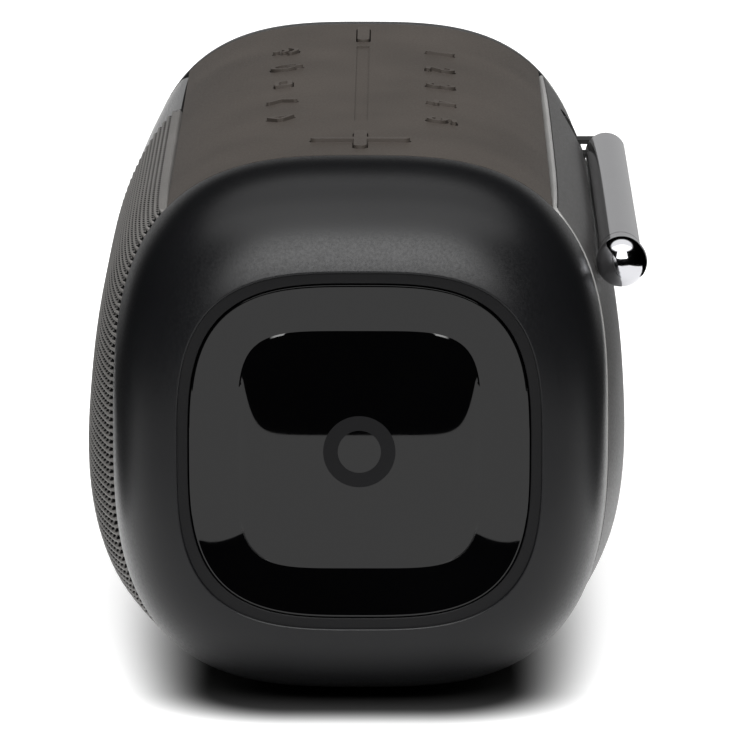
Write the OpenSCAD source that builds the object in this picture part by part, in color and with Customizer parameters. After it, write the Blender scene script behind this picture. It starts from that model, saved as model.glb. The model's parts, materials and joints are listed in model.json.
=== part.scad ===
// Portable waterproof radio speaker: a squared tube with a domed perforated front, a rubber
// keypad on top, a gloss passive radiator in each end and a folding telescopic antenna behind.
// X runs along the body, -Y is the front, +Z is up. The origin is on the rest plane, midway.

/* [Body] */
// Overall length between the two end faces
body_len = 173; // [170:1:178]
// Length of the straight middle, between the two end bells
mid_len = 133; // [131:1:135]
// Half width of the body where the bells begin
half_w = 36; // [35.6:0.1:36.4]
// Height of the body above its long axis
top_h = 40; // [39.6:0.1:40.4]
// Depth of the body below its long axis
bottom_h = 38.1; // [37.8:0.1:38.4]
// Roundness of the section: 2 is an ellipse, higher is squarer
section_n = 3; // [2.9:0.05:3.1]
// How far the front swells beyond the plain section
front_dome = 5.1; // [4.7:0.1:5.4]
// How far the rear swells beyond the plain section
rear_dome = 3.9; // [3.5:0.1:4.2]
// Half width of the rubber panel on top
panel_half = 28; // [27.5:0.1:28.5]
// Half width of the cover underneath
base_half = 26; // [25:0.5:26.5]
// How far the rubber foot stands below the body
foot_proud = 1.9; // [1.6:0.1:2]
// Left edge of the front grille, where the display window ends
window_x = -28.5; // [-30:0.5:-27.5]

/* [Ends] */
// Half width of the opening in each end face
mouth_w = 26.4; // [26.4:0.05:26.5]
// Half height of the opening in each end face
mouth_h = 26.2; // [26.1:0.05:26.3]
// Half width of the gloss radiator plate
plate_w = 24.5; // [24.3:0.1:24.6]
// Thickness of the bell wall
bell_wall = 2.6; // [2.4:0.1:2.8]

/* [Antenna] */
// Height of the stowed antenna above the body's long axis
antenna_z = 22.9; // [22.5:0.1:23.3]
// Distance of the stowed antenna behind the body's long axis
antenna_y = 38.3; // [38.1:0.1:38.5]
// Place of the tilt pin along the body
antenna_x = -48.5; // [-49.5:0.5:-47.5]
// Outer radius of the outermost tube
antenna_r = 3.2; // [3.1:0.05:3.25]
// Wall of each antenna tube
tube_wall = 0.4; // [0.38:0.01:0.42]

/* [Keys] */
// Height of the raised symbols above the rubber panel
symbol_proud = 0.45; // [0.4:0.05:0.6]
// Width of a symbol's lines
line_w = 0.75; // [0.7:0.05:0.8]
// Gap between a symbol and the panel around it
key_gap = 0.2; // [0.15:0.01:0.22]
// Distance between neighbouring keys in a row
key_pitch = 17; // [16.5:0.5:17]
// Distance of each row of keys from the middle line
key_row_y = 12; // [11.5:0.5:12.5]

/* [Hidden] */
$fn = 64;

axis_z = bottom_h + foot_proud;
end_x = body_len / 2;
mid_x = mid_len / 2;
seam = 0.2;
skin_t = 1.2;
top_skin_t = 1.6;
window_t = 1.6;
rear_t = 3.2;
base_t = 1.8;
trim_t = 1.8;
trim_turn = 2.4;
cabinet_out = 5.6;
cabinet_in = 8;
cabinet_x = 64;
seal_t = 0.8;
// The front and rear swell most at these heights and die out at the other two
front_low = -24;
rear_low = -16;
swell_top = 42;
swell_bottom = -40.4;
swell_fall = 2.26;
swell_run = 4.2;
mouth_n = 3.2;
bell_n = 2.4;
// Share of the bell's curve that is left when it meets the lip
bell_cut = 0.85;
lip_t = 2;
ring_steps = 48;
foot_x = 50;
foot_w = 17;
foot_gap = 0.03;

// ---- Curves and lofted shells ----

function signed_pow(v, e) = sign(v) * pow(abs(v), e);
function mix(a, b, t) = a + (b - a) * t;
function ease(t) = let (c = min(1, max(0, t))) c * c * (3 - 2 * c);

// Point at angle a of a squared ring of half width w, heights up and down, and roundness n
function ring_pt(a, w, up, down, n) =
    let (r = pow(pow(abs(cos(a)), n) + pow(abs(sin(a)), n), -1 / n))
    [w * r * cos(a), (sin(a) >= 0 ? up : down) * r * sin(a)];

// Height of the plain section above the axis, y from the middle line and d inside the surface
function panel_z(y, d = 0) = (top_h - d) * pow(1 - pow(abs(y) / (half_w - d), section_n), 1 / section_n);
function panel_slope(y) = atan((panel_z(y + 0.5) - panel_z(y - 0.5)));
function border_angle(y) = atan2(pow(1 - pow(y / half_w, section_n), 1 / section_n), y / half_w);

top_a = border_angle(panel_half);
base_a = border_angle(base_half);

function swell_x(x) = 1 - pow(min(1, abs(x) / mid_x), swell_run);
function swell_z(z, low) =
    let (v = z > low ? (z - low) / (swell_top - low) : (low - z) / (low - swell_bottom))
    pow(max(0, 1 - pow(v, swell_fall)), 2);
function skin_pt(x, a, d) =
    let (p = ring_pt(a, half_w - d, top_h - d, bottom_h - d, section_n),
         swell = swell_x(x)
             * (p[0] < 0 ? front_dome * swell_z(p[1], front_low) : rear_dome * swell_z(p[1], rear_low)))
    [x, p[0] + sign(p[0]) * swell * ease((abs(p[0]) - foot_w - 0.5) / (base_half - foot_w - 0.5)), axis_z + p[1]];

function spread(lo, hi, n) = [for (i = [0:n]) mix(lo, hi, i / n)];
function quad(a, b, c, d) = [[a, b, c], [a, c, d]];

// Curved sheet over stations xs and angles as, from inset d0 outside to d1 inside.
// Cells from hole[0] to hole[1] along X and hole[2] to hole[3] around are left open.
module curved_sheet(xs, as, d0, d1, hole = [0, 0, 0, 0]) {
    nx = len(xs) - 1;
    na = len(as) - 1;
    row = na + 1;
    count = (nx + 1) * row;
    function solid_at(i, j) = i >= 0 && j >= 0 && i < nx && j < na
        && !(i >= hole[0] && i < hole[1] && j >= hole[2] && j < hole[3]);
    function at(i, j) = i * row + j;
    points = concat(
        [for (x = xs) for (a = as) skin_pt(x, a, d0)],
        [for (x = xs) for (a = as) skin_pt(x, a, d1)]
    );
    faces = [
        for (i = [0:nx - 1]) for (j = [0:na - 1]) if (solid_at(i, j)) each concat(
            quad(at(i, j), at(i + 1, j), at(i + 1, j + 1), at(i, j + 1)),
            quad(count + at(i, j), count + at(i, j + 1), count + at(i + 1, j + 1), count + at(i + 1, j)),
            solid_at(i - 1, j) ? [] : quad(at(i, j), at(i, j + 1), count + at(i, j + 1), count + at(i, j)),
            solid_at(i + 1, j) ? [] :
                quad(at(i + 1, j + 1), at(i + 1, j), count + at(i + 1, j), count + at(i + 1, j + 1)),
            solid_at(i, j - 1) ? [] : quad(at(i + 1, j), at(i, j), count + at(i, j), count + at(i + 1, j)),
            solid_at(i, j + 1) ? [] :
                quad(at(i, j + 1), at(i + 1, j + 1), count + at(i + 1, j + 1), count + at(i, j + 1))
        )
    ];
    polyhedron(points = points, faces = faces);
}

// Solid whose surface joins rings of points: a closed loop of rings, or a stack with capped ends
module ring_solid(rings, looped) {
    m = len(rings[0]);
    n = len(rings);
    function at(i, j) = (i % n) * m + (j % m);
    sides = [
        for (i = [0:n - (looped ? 1 : 2)]) for (j = [0:m - 1])
            each quad(at(i, j), at(i + 1, j), at(i + 1, j + 1), at(i, j + 1))
    ];
    caps = looped ? [] : [[for (j = [0:m - 1]) at(0, j)], [for (j = [m - 1:-1:0]) at(n - 1, j)]];
    polyhedron(points = [for (r = rings) each r], faces = concat(sides, caps));
}

// Height of a ring of half width w with the proportions of the end opening
function mouth_up(w) = w * mouth_h / mouth_w;

// Such a ring in the plane x
function end_ring(w, x, n = mouth_n) =
    [for (j = [0:ring_steps - 1])
        let (p = ring_pt(j * 360 / ring_steps, w, mouth_up(w), mouth_up(w), n)) [x, p[0], axis_z + p[1]]];

// Flat outline of the section, d inside the surface, between angles a0 and a1
function section_arc(d, a0, a1, n) =
    [for (a = spread(a0, a1, n)) ring_pt(a, half_w - d, top_h - d, bottom_h - d, section_n)];
module section_band(d0, d1, a0, a1, n = 28)
    polygon(concat(section_arc(d0, a0, a1, n), section_arc(d1, a1, a0, n)));
module section_full(d) polygon([for (j = [0:71]) ring_pt(j * 5, half_w - d, top_h - d, bottom_h - d, section_n)]);
module mouth_full(w)
    polygon([for (j = [0:71]) ring_pt(j * 5, w, mouth_up(w), mouth_up(w), mouth_n)]);

// Extrudes a flat outline along X, from x0 to x1
module along_x(x0, x1)
    translate([x0, 0, axis_z]) rotate([90, 0, 90]) linear_extrude(x1 - x0) children();
module block(lo, hi) translate(lo) cube(hi - lo);
module rod_x(r, x0, x1, y, z) translate([x0, y, z]) rotate([0, 90, 0]) cylinder(r = r, h = x1 - x0);
module rod_y(r, x, y0, y1, z) translate([x, y1, z]) rotate([90, 0, 0]) cylinder(r = r, h = y1 - y0);
module rod_z(r, x, y, z0, z1) translate([x, y, z0]) cylinder(r = r, h = z1 - z0);
module left_side() mirror([1, 0, 0]) children();

// ---- Cabinet ----

driver_seat_y = -30.5;
driver_hole_r = 21.6;
screw_head_r = 2.3;
screw_head_h = 1.6;
screw_r = 1.2;
screw_l = 8;
driver_screw_r = 24;
end_boss = [22.5, 24];
end_boss_r = 3.2;
port_x = -14;
port_z = -12;

module cabinet_shell() {
    along_x(-cabinet_x, cabinet_x) difference() {
        section_full(cabinet_out);
        section_full(cabinet_in);
    }
    for (sx = [-1, 1]) for (sy = [-1, 1]) for (sz = [-1, 1]) {
        x_in = sx * (cabinet_x - 12);
        rod_x(end_boss_r, min(x_in, sx * cabinet_x), max(x_in, sx * cabinet_x),
            sy * end_boss[0], axis_z + sz * end_boss[1]);
    }
}

module end_screw_bores() {
    for (sx = [-1, 1]) for (sy = [-1, 1]) for (sz = [-1, 1])
        rod_x(screw_r, sx * cabinet_x - screw_l, sx * cabinet_x + screw_l,
            sy * end_boss[0], axis_z + sz * end_boss[1]);
}

module driver_screw_places()
    for (turn = [45:90:315])
        translate([driver_screw_r * cos(turn), driver_seat_y, axis_z + driver_screw_r * sin(turn)])
            children();

module cabinet_front() color("dimgray") difference() {
    union() {
        cabinet_shell();
        rod_y(27.5, 0, driver_seat_y, -21, axis_z);
    }
    block([-100, -seal_t / 2, 0], [100, 50, 100]);
    rod_y(driver_hole_r, 0, -50, 0, axis_z);
    end_screw_bores();
    driver_screw_places() rotate([90, 0, 0]) translate([0, 0, -screw_l]) cylinder(r = screw_r, h = screw_l + 1);
}

module cabinet_rear() color("dimgray") difference() {
    cabinet_shell();
    block([-100, -50, 0], [100, seal_t / 2, 100]);
    end_screw_bores();
    block([port_x - 5, 20, axis_z + port_z - 2.2], [port_x + 5, 50, axis_z + port_z + 2.2]);
    rod_y(7.2, antenna_x, 20, 50, axis_z + antenna_z);
}

module cabinet_seal() color("black") for (up = [1, -1]) {
    outer = up > 0 ? top_h - cabinet_out : bottom_h - cabinet_out;
    wall = cabinet_in - cabinet_out;
    z0 = up > 0 ? axis_z + outer - wall : axis_z - outer;
    block([-cabinet_x, -seal_t / 2, z0], [cabinet_x, seal_t / 2, z0 + wall]);
}

// ---- Front, base and rear skins ----

module front_grille() color("dimgray")
    curved_sheet(spread(window_x + seam, mid_x - seam, 12),
        spread(180 - top_a + 0.4, 180 + base_a - 0.3, 18), 0, skin_t);

module display_window() color("slategray")
    curved_sheet(spread(-mid_x + seam, window_x, 6),
        spread(180 - top_a + 0.4, 180 + base_a - 0.3, 18), 0, window_t);

module display_module() color("darkslategray") difference() {
    block([-60, -33.4, axis_z - 16], [-34, -31, axis_z + 16]);
    block([-58, -34, axis_z - 14], [-36, -32.9, axis_z + 14]);
}

module base_cover() color("dimgray")
    curved_sheet(spread(-mid_x + seam, mid_x - seam, 10), spread(180 + base_a, 360 - base_a, 16), 0, base_t);

module base_foot() color("black") difference() {
    linear_extrude(3.4) union() {
        square([2 * foot_x - 12, 2 * foot_w], center = true);
        square([2 * foot_x, 2 * foot_w - 12], center = true);
        for (sx = [-1, 1]) for (sy = [-1, 1]) translate([sx * (foot_x - 6), sy * (foot_w - 6)]) circle(6);
    }
    along_x(-mid_x, mid_x) section_full(-foot_gap);
    for (y = [-10, -5, 5, 10]) block([-foot_x + 6, y - 0.6, -1], [foot_x - 6, y + 0.6, 0.8]);
}

bush_hole_r = 6;
groove_r = antenna_r + 0.45;
groove_x0 = -50;
groove_x1 = 63.5;
tip_pocket_x = 53;
module antenna_bay() {
    z = axis_z + antenna_z;
    rod_x(groove_r, groove_x0, groove_x1, antenna_y, z);
    rod_x(groove_r + 0.5, tip_pocket_x, groove_x1, antenna_y, z);
    rod_y(bush_hole_r, antenna_x, 20, 60, z);
}

flap_x = [-21, -7];
flap_z = [-16, -8];
module rear_cover() color("dimgray") difference() {
    curved_sheet(spread(-mid_x + 1.6, mid_x - 1.6, 12), spread(-base_a + 2, top_a - trim_turn, 18), 0, rear_t);
    antenna_bay();
    block([flap_x[0], 20, axis_z + flap_z[0]], [flap_x[1], 60, axis_z + flap_z[1]]);
}

module rear_trim() color("silver") curved_sheet(
    concat([-mid_x + seam], spread(-mid_x + 1.5, mid_x - 1.5, 8), [mid_x - seam]),
    concat([-base_a + 0.3], spread(-base_a + 1.9, top_a - trim_turn + 0.1, 14), [top_a - 0.4]),
    -0.15, trim_t, [1, 9, 1, 15]);

// ---- Rubber keypad on top ----

flange_top = -2;
flange_bottom = -2.5;
dome_top = -3.1;
dome_bottom = -3.5;
circuit_d0 = 3.6;
circuit_d1 = 3.85;
carrier_d = 5.4;
plus_x = 53.2;
minus_x = -53.4;
plus_len = 14.6;
plus_line = 1.9;
preset_cols = [for (i = [-2:2]) i * key_pitch - 1.8];
control_cols = [for (i = [-2:2]) i * key_pitch - 3.7];

// Places children on the rubber panel, with z along the outward normal
module on_panel(x, y) translate([x, y, axis_z + panel_z(y)]) rotate([panel_slope(y), 0, 0]) children();

module bar(length, w, turn = 0) rotate(turn) union() {
    square([length - w, w], center = true);
    for (s = [-1, 1]) translate([s * (length - w) / 2, 0]) circle(d = w);
}

// Part of a round ring of mean radius r, from angle a0 to a1, with round ends
module arc(r, w, a0, a1) {
    steps = 8;
    intersection() {
        difference() {
            circle(r + w / 2);
            circle(r - w / 2);
        }
        polygon(concat([[0, 0]], [for (a = spread(a0, a1, steps)) [2 * r * cos(a), 2 * r * sin(a)]]));
    }
    for (a = [a0, a1]) translate([r * cos(a), r * sin(a)]) circle(d = w);
}

// Flat symbols. Each is g wider on every side, so the same outline cuts the hole around it.
module sign_1(g) {
    w = line_w + 2 * g;
    bar(4.5 + 2 * g, w, 90);
    translate([-0.55, 1.62]) bar(1.75 + 2 * g, w, 42);
}
module sign_2(g) {
    w = line_w + 2 * g;
    translate([0, 0.75]) arc(1.15, w, -20, 165);
    translate([-0.05, -0.75]) bar(3.05 + 2 * g, w, 50);
    translate([0, -1.87]) bar(3.1 + 2 * g, w);
}
module sign_3(g) {
    w = line_w + 2 * g;
    translate([0, 0.95]) arc(0.95, w, -90, 150);
    translate([0, -0.95]) arc(0.95, w, -150, 90);
}
module sign_4(g) {
    w = line_w + 2 * g;
    translate([0.7, 0]) bar(4.5 + 2 * g, w, 90);
    translate([0, -0.75]) bar(3.4 + 2 * g, w);
    translate([-0.4, 0.65]) bar(3.6 + 2 * g, w, 53);
}
module sign_5(g) {
    w = line_w + 2 * g;
    translate([0.1, 1.87]) bar(2.6 + 2 * g, w);
    translate([-1.0, 1.1]) bar(2.1 + 2 * g, w, 90);
    translate([0, -0.7]) arc(1.2, w, -150, 125);
}
module sign_wireless(g) {
    w = line_w + 2 * g;
    translate([0, -1.6]) circle(0.55 + g);
    for (r = [1.7, 3.2]) translate([0, -1.6]) arc(r, w, 45, 135);
}
module sign_power(g) {
    w = line_w + 2 * g;
    arc(1.9, w, -222, 42);
    translate([0, 1.5]) bar(2.6 + 2 * g, w, 90);
}
module sign_source(g) {
    w = line_w + 2 * g;
    for (y = [-1, 1]) translate([0, y]) bar(4.6 + 2 * g, w);
    for (x = [-1.93, 1.93]) translate([x, 0]) bar(2.75 + 2 * g, w, 90);
}
module sign_back(g) {
    w = line_w + 2 * g;
    for (s = [-1, 1]) translate([0, s * 1.05]) bar(3.2 + 2 * g, w, s * 50);
}
module sign_play(g) {
    w = line_w + 2 * g;
    for (s = [-1, 1]) translate([0.2, s * 0.95]) bar(3.4 + 2 * g, w, s * -34);
    translate([-1.05, 0]) bar(3.9 + 2 * g, w, 90);
}
module sign_plus(g) for (turn = [0, 90]) bar(plus_len + 2 * g, plus_line + 2 * g, turn);
module sign_minus(g) bar(plus_len + 2 * g, plus_line + 2 * g);

// Flush webs that fill the closed outlines, so that no island of the panel is cut loose
module web_4() polygon([[0.7, -0.75], [0.7, 2.1], [-1.5, -0.75]]);
module web_source() square([3.9, 2.1], center = true);
module web_play() polygon([[-1.05, -1.9], [1.6, 0], [-1.05, 1.9]]);

// A key is its raised symbol, passing through the panel, on a small flange that presses a dome.
// A second child is the flush web inside a closed symbol.
module key(x, y, flange_r = 2.6) color("dimgray") on_panel(x, y) {
    translate([0, 0, flange_top]) linear_extrude(symbol_proud - flange_top) children(0);
    if ($children > 1) translate([0, 0, flange_top]) linear_extrude(-flange_top) children(1);
    translate([0, 0, flange_bottom]) cylinder(r = flange_r, h = flange_top - flange_bottom);
}

module all_signs(g) {
    cut_symbol(preset_cols[0], key_row_y) sign_1(g);
    cut_symbol(preset_cols[1], key_row_y) sign_2(g);
    cut_symbol(preset_cols[2], key_row_y) sign_3(g);
    cut_symbol(preset_cols[3], key_row_y) {
        sign_4(g);
        web_4();
    }
    cut_symbol(preset_cols[4], key_row_y) sign_5(g);
    cut_symbol(control_cols[0], -key_row_y) sign_wireless(g);
    cut_symbol(control_cols[1], -key_row_y) sign_power(g);
    cut_symbol(control_cols[2], -key_row_y) {
        sign_source(g);
        web_source();
    }
    cut_symbol(control_cols[3], -key_row_y) sign_back(g);
    cut_symbol(control_cols[4], -key_row_y) {
        sign_play(g);
        web_play();
    }
    cut_symbol(plus_x, 0) sign_plus(g);
    cut_symbol(minus_x, 0) sign_minus(g);
}
module cut_symbol(x, y) on_panel(x, y) translate([0, 0, -4]) linear_extrude(8) children();

strip_x = [-42, 33.5];
module top_skin() color("dimgray") difference() {
    along_x(-mid_x + seam, mid_x - seam) section_band(0, top_skin_t, top_a, 180 - top_a, 88);
    all_signs(key_gap);
    block([strip_x[0], -1, axis_z + top_h - 0.3], [strip_x[1], 1, axis_z + top_h + 1]);
}

module keypad_carrier() color("gray") {
    along_x(-cabinet_x + 0.3, cabinet_x - 0.3) {
        section_band(circuit_d1 + 0.05, carrier_d, top_a + 1, 179 - top_a, 40);
        section_band(top_skin_t + 0.02, carrier_d - 0.4, top_a + 1.2, top_a + 5, 4);
        section_band(top_skin_t + 0.02, carrier_d - 0.4, 175 - top_a, 178.8 - top_a, 4);
    }
}

module each_dome() {
    for (x = preset_cols) on_panel(x, key_row_y) children();
    for (x = control_cols) on_panel(x, -key_row_y) children();
    for (x = [plus_x, minus_x]) on_panel(x, 0) children();
}

module key_circuit() color("orange") {
    along_x(-cabinet_x + 0.5, cabinet_x - 0.5) section_band(circuit_d0, circuit_d1, 65, 115, 24);
    each_dome() translate([0, 0, dome_bottom]) cylinder(r = 2, h = dome_top - dome_bottom);
}

module key_preset_1() key(preset_cols[0], key_row_y) sign_1(0);
module key_preset_2() key(preset_cols[1], key_row_y) sign_2(0);
module key_preset_3() key(preset_cols[2], key_row_y) sign_3(0);
module key_preset_4() key(preset_cols[3], key_row_y) {
    sign_4(0);
    web_4();
}
module key_preset_5() key(preset_cols[4], key_row_y) sign_5(0);
module key_wireless() key(control_cols[0], -key_row_y) sign_wireless(0);
module key_power() key(control_cols[1], -key_row_y) sign_power(0);
module key_source() key(control_cols[2], -key_row_y) {
    sign_source(0);
    web_source();
}
module key_back() key(control_cols[3], -key_row_y) sign_back(0);
module key_play() key(control_cols[4], -key_row_y) {
    sign_play(0);
    web_play();
}
module key_volume_up() key(plus_x, 0, 4) sign_plus(0);
module key_volume_down() key(minus_x, 0, 4) sign_minus(0);

// ---- Ends ----

function bell_part(k) = pow(1 - bell_cut * pow(k, bell_n), 1 / bell_n);
function bell_drop(k) = (1 - bell_part(k)) / (1 - bell_part(1));
function bell_ring(k, d, length) =
    let (g = bell_drop(k), n = mix(section_n, mouth_n, g))
    [for (j = [0:ring_steps - 1])
        let (p = ring_pt(j * 360 / ring_steps, mix(half_w - d, mouth_w, g), mix(top_h - d, mouth_h, g),
                 mix(bottom_h - d, mouth_h, g), n))
        [mid_x + k * length, p[0], axis_z + p[1]]];

module bell() {
    bell_len = end_x - mid_x;
    steps = 9;
    ks = [for (i = [0:steps]) sin(90 * i / steps)];
    ring_solid(concat(
        [for (k = ks) bell_ring(k, 0, bell_len)],
        [for (i = [steps:-1:0]) bell_ring(ks[i], bell_wall, bell_len - lip_t)]
    ), true);
}
module bell_right() color("dimgray") bell();
module bell_left() color("dimgray") left_side() bell();

frame_tube_w = 28;
frame_hole_w = 26.2;
frame_end_x = end_x - 3.3;
module end_frame() difference() {
    union() {
        along_x(cabinet_x, mid_x + 0.4) section_full(3.4);
        along_x(mid_x, frame_end_x) mouth_full(frame_tube_w);
    }
    along_x(cabinet_x - 1, end_x) mouth_full(frame_hole_w);
    for (sy = [-1, 1]) for (sz = [-1, 1]) {
        rod_x(screw_r + 0.1, 0, end_x, sy * end_boss[0], axis_z + sz * end_boss[1]);
        rod_x(screw_head_r + 0.2, mid_x + 0.4, mid_x + 2.4, sy * end_boss[0], axis_z + sz * end_boss[1]);
    }
}
module end_frame_right() color("gray") end_frame();
module end_frame_left() color("gray") left_side() end_frame();

// Folded rubber: [half width, distance behind the end face] round the closed profile
surround_profile = [
    [22.3, 3.75], [24.4, 3.75], [24.7, 3.4], [24.7, 0.75], [24.9, 0.5], [26.05, 0.5], [26.2, 0.7],
    [26.2, 2.55], [27.2, 2.55], [27.2, 3.2], [25.95, 3.2], [25.75, 1.4], [25.45, 1.05], [25.15, 1.4],
    [25.05, 4.2], [22.3, 4.2]
];
module radiator_surround() {
    ring_solid([for (i = [len(surround_profile) - 1:-1:0])
        end_ring(surround_profile[i][0], end_x - surround_profile[i][1])], true);
}
module radiator_surround_right() color("black") radiator_surround();
module radiator_surround_left() color("black") left_side() radiator_surround();

// Gloss plate: a band that slopes in from the rim to a squared valley, round a shallow round dome
valley_w = 17.4;
valley_n = 4.8;
valley_depth = 1.65;
dome_round_w = 11;
dome_h = 1.5;
rim_depth = 0.25;
function plate_n(w) = w > valley_w ? mix(valley_n, mouth_n, (w - valley_w) / (plate_w - valley_w))
    : mix(2, valley_n, ease((w - dome_round_w) / (valley_w - dome_round_w)));
plate_back = [[1, 2.9], [plate_w - 0.6, 2.9], [plate_w, 2.5], [plate_w, 0.45]];
plate_front = concat(
    [for (t = [0:2]) [mix(plate_w - 0.3, valley_w, t / 2), mix(rim_depth, valley_depth, t / 2)]],
    [for (w = [15.5, 13.5, 11, 8, 4, 1]) [w, valley_depth - dome_h * (1 - pow(w / valley_w, 2))]]
);
module radiator_plate() ring_solid(concat(
    [for (p = plate_back) end_ring(p[0], end_x - p[1])],
    [for (p = plate_front) end_ring(p[0], end_x - p[1], plate_n(p[0]))]
), false);
module radiator_plate_right() color("black") radiator_plate();
module radiator_plate_left() color("black") left_side() radiator_plate();

weight_r = 15;
module radiator_weight_right() color("silver")
    rod_x(weight_r, end_x - 7, end_x - 2.9, 0, axis_z);
module radiator_weight_left() color("silver") left_side()
    rod_x(weight_r, end_x - 7, end_x - 2.9, 0, axis_z);

// ---- Driver, facing -Y ----

// Turns a flat [radius, depth behind the seat] outline about the driver's axis
module driver_turned() translate([0, driver_seat_y, axis_z]) rotate([-90, 0, 0]) rotate_extrude() children();

basket_t = 1.2;
coil_r = 7.3;
coil_t = 0.55;
magnet_r = 14;
module driver_basket() color("dimgray") difference() {
    driver_turned() polygon([[21.2, -basket_t], [26.4, -basket_t], [26.4, 0], [21, 0], [15.2, 11.2],
        [15.2, 13.7], [9, 13.7], [9, 12.5], [14.2, 12.5], [14.2, 11], [20.4, -0.4]]);
    for (turn = [0:60:300]) translate([0, driver_seat_y + 5.6, axis_z]) rotate([0, turn, 0])
        translate([17.6, 0, 0]) rotate([90, 0, 0]) cylinder(r = 3.2, h = 20, center = true);
    driver_screw_places() rotate([90, 0, 0]) cylinder(r = screw_r + 0.1, h = 4);
}
module driver_top_plate() color("silver") driver_turned() translate([8.2, 13.7]) square([magnet_r - 8.2, 3]);
module driver_magnet() color("black") driver_turned() translate([9, 16.7]) square([magnet_r - 9, 5]);
module driver_yoke() color("silver") driver_turned()
    polygon([[0, 13.7], [6.9, 13.7], [6.9, 21.7], [magnet_r, 21.7], [magnet_r, 24.2], [0, 24.2]]);
module driver_voice_coil() color("brown") driver_turned() translate([coil_r, 5.6]) square([coil_t, 10]);
module driver_cone() color("black") driver_turned()
    polygon([[coil_r + coil_t, 6.6], [coil_r + coil_t, 7.3], [18.4, -0.3], [18.4, -1]]);
module driver_dust_cap() color("dimgray") driver_turned() intersection() {
    difference() {
        translate([0, 12.9]) circle(10.2);
        translate([0, 12.9]) circle(9.7);
    }
    translate([0, 2]) square([coil_r, 3.8]);
}
module driver_surround() color("black") driver_turned() {
    difference() {
        translate([19.7, -basket_t - 0.1]) circle(1.7);
        translate([19.7, -basket_t - 0.1]) circle(1.2);
        translate([15, -basket_t - 0.1]) square([10, 5]);
    }
    translate([17, -basket_t - 0.4]) square([1.2, 0.4]);
    translate([21.2, -basket_t - 0.4]) square([0.4, 0.4]);
}
module driver_spider() color("orange") driver_turned() {
    for (i = [0:2]) translate([coil_r + coil_t + 2 * i, 10.6 + (i % 2) * 0.4]) square([2.01, 0.4]);
}

module screws() color("silver") {
    driver_screw_places() rotate([90, 0, 0]) {
        translate([0, 0, -screw_l + basket_t]) cylinder(r = screw_r, h = screw_l);
        translate([0, 0, basket_t]) cylinder(r = screw_head_r, h = screw_head_h);
    }
    for (side = [0, 1]) mirror([side, 0, 0]) for (sy = [-1, 1]) for (sz = [-1, 1]) {
        x = mid_x + 0.4;
        rod_x(screw_r, x - screw_l, x, sy * end_boss[0], axis_z + sz * end_boss[1]);
        rod_x(screw_head_r, x, x + screw_head_h, sy * end_boss[0], axis_z + sz * end_boss[1]);
    }
}

// ---- Power and electronics ----

cell_r = 9.2;
cell_l = 65;
cell_y = 10;
cell_z = -17;
board_y = 22;
board_t = 1.6;
module battery() color("steelblue") union() {
    rod_x(cell_r, -cell_l / 2, cell_l / 2, cell_y, axis_z + cell_z);
    rod_x(3, cell_l / 2, cell_l / 2 + 1.5, cell_y, axis_z + cell_z);
}
module battery_holder() color("dimgray") difference() {
    block([-36, cell_y - 7, axis_z - 27.2], [36.5, cell_y + 7, axis_z + cell_z - 3]);
    rod_x(cell_r + 0.05, -cell_l / 2, cell_l / 2 + 1.6, cell_y, axis_z + cell_z);
    block([-50, -50, 0], [50, 0.6, 100]);
}
module main_board() color("green") {
    block([-42, board_y, axis_z - 18], [44, board_y + board_t, axis_z + 22]);
    block([-30, board_y - 1.6, axis_z + 2], [-18, board_y, axis_z + 14]);
    block([6, board_y - 1.2, axis_z + 6], [15, board_y, axis_z + 15]);
    block([25, board_y - 4, axis_z + 4], [31, board_y, axis_z + 16]);
    for (x = [-10, -4, 2]) rod_y(2.5, x, board_y - 8, board_y, axis_z + 17);
}
module usb_port() color("silver") difference() {
    block([port_x - 4.5, board_y + board_t, axis_z + port_z - 1.6],
        [port_x + 4.5, 36, axis_z + port_z + 1.6]);
    block([port_x - 4.2, 29, axis_z + port_z - 1.3], [port_x + 4.2, 37, axis_z + port_z + 1.3]);
    block([port_x - 3.4, 28, axis_z + port_z - 0.35], [port_x + 3.4, 29.5, axis_z + port_z + 0.35]);
}

flap_gap = 0.2;
flap_t = 1.4;
// The flap's hinge bead, set into its left edge and leaning with the cover
bead_r = 0.5;
bead = [-20.4, 38.83, axis_z + port_z];
bead_lean = 5.11;
module port_flap() color("black") {
    translate(bead) rotate([-bead_lean, 0, 0]) cylinder(r = bead_r, h = 7.4, center = true);
    intersection() {
        curved_sheet(spread(bead[0], flap_x[1] - flap_gap, 4), spread(-30, -8, 6), 0, flap_t);
        block([-60, 20, axis_z + flap_z[0] + flap_gap], [60, 60, axis_z + flap_z[1] - flap_gap]);
    }
    block([port_x - 5, 37.1, axis_z + port_z - 2.4], [port_x + 5, 38.6, axis_z + port_z + 2.4]);
}

lead_r = 0.7;
lead_sides = 8;
speaker_lead = [[17, -19, 9], [18, -14, 10], [20, -6, 11], [22, 4, 10], [22, 14, 7], [21, 19.5, 2.5], [21, 21.9, 1.5]];
battery_lead = [[34.4, 8, -17], [37, 8, -15], [38.5, 10, -9], [38, 15, -4], [36.3, 19.5, -2], [36, 21.9, -2]];
antenna_lead = [[-48.5, 26, 19], [-48.5, 24, 17], [-47, 22, 14], [-44.5, 20.5, 12], [-41.5, 19.5, 11], [-38.3, 20, 10], [-38, 21.9, 10]];

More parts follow.
